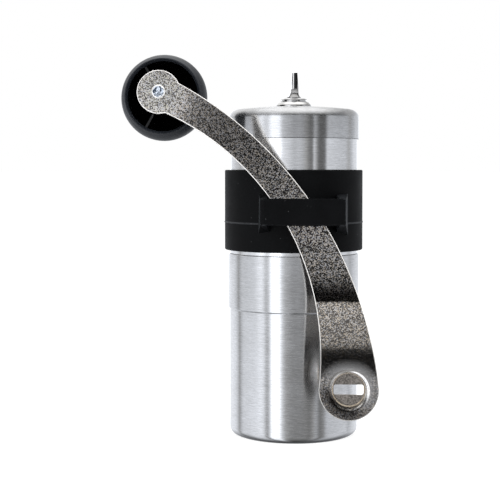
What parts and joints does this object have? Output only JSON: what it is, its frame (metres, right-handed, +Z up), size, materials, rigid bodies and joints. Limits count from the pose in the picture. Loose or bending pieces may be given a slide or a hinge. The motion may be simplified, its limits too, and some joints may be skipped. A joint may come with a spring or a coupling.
{
  "type": "hand crank coffee grinder",
  "caption": "Slim steel hand grinder with a catch cup, a lift-off cap, conical burrs and a cranked arm stowed in a rubber band's loop.",
  "frame": {"origin": "on the grinder's axis, in the plane of the catch cup's flat foot", "axes": "+Z up along the grinder's axis, -Y towards the stowed crank arm, +X to the right when it is seen from the arm's side"},
  "size_m": [0.0888, 0.07, 0.1391],
  "materials": {
    "brushed_steel": "fine brushing around the body",
    "cap_steel": "fine brushing around the cap",
    "turned_steel": "turned and bright",
    "speckled_nickel": "fine speckled nickel plate",
    "spring_steel": "drawn wire and pressed sheet",
    "rubber": "matte moulded rubber",
    "knob_plastic": "satin outside, glossy inside",
    "frame_plastic": "fine moulded grain",
    "ceramic": "unglazed",
    "bronze": "oiled sintered bush"
  },
  "bodies": {
    "cup": {"catch_cup": "brushed_steel"},
    "grinder": {"body_tube": "brushed_steel", "grip_band": "rubber", "upper_frame": "frame_plastic", "upper_bush": "bronze", "burr_housing": "frame_plastic", "lower_bush": "bronze", "outer_burr": "ceramic", "burr_clamp_ring": "spring_steel", "clamp_screws": "spring_steel"},
    "lid": {"cap_shell": "cap_steel", "cap_bushing": "turned_steel"},
    "shaft": {"drive_shaft": "turned_steel", "upper_thrust_washer": "spring_steel", "burr_spring": "spring_steel"},
    "burr_set": {"burr_carrier": "frame_plastic", "inner_burr": "ceramic", "click_plate": "spring_steel", "lower_thrust_washer": "spring_steel"},
    "adjuster": {"adjuster_nut": "turned_steel"},
    "crank": {"crank_arm": "speckled_nickel", "knob_pin": "turned_steel", "knob_washer": "spring_steel"},
    "knob": {"knob_shell": "knob_plastic"}
  },
  "joints": [
    {"name": "body_lift", "type": "slide", "parent": "cup", "child": "grinder", "axis": [0, 0, 1], "range_m": [0, 0.06]},
    {"name": "cap_lift", "type": "slide", "parent": "grinder", "child": "lid", "axis": [0, 0, 1], "range_m": [0, 0.03]},
    {"name": "shaft_spin", "type": "hinge", "parent": "grinder", "child": "shaft", "pos_m": [0, 0, 0.1], "axis": [0, 0, 1], "continuous": true},
    {"name": "burr_travel", "type": "slide", "parent": "shaft", "child": "burr_set", "axis": [0, 0, 1], "range_m": [-0.0016, 0.0009], "deforming": ["burr_spring"]},
    {"name": "adjuster_turn", "type": "hinge", "parent": "burr_set", "child": "adjuster", "pos_m": [0, 0, 0.0487], "axis": [0, 0, 1], "range_deg": [-720, 400]},
    {"name": "arm_draw", "type": "hinge", "parent": "grinder", "child": "crank", "pos_m": [-0.09709, -0.02262, 0.0215], "axis": [-0.1129, -0.9905, 0.0785], "range_deg": [-3, 5.5]},
    {"name": "knob_spin", "type": "hinge", "parent": "crank", "child": "knob", "pos_m": [-0.04943, -0.01988, 0.12475], "axis": [-0.1129, -0.9905, 0.0785], "continuous": true}
  ],
  "couplings": [
    {"joint": "burr_travel", "follows": "adjuster_turn", "m_per_rad": 0.00012732}
  ]
}
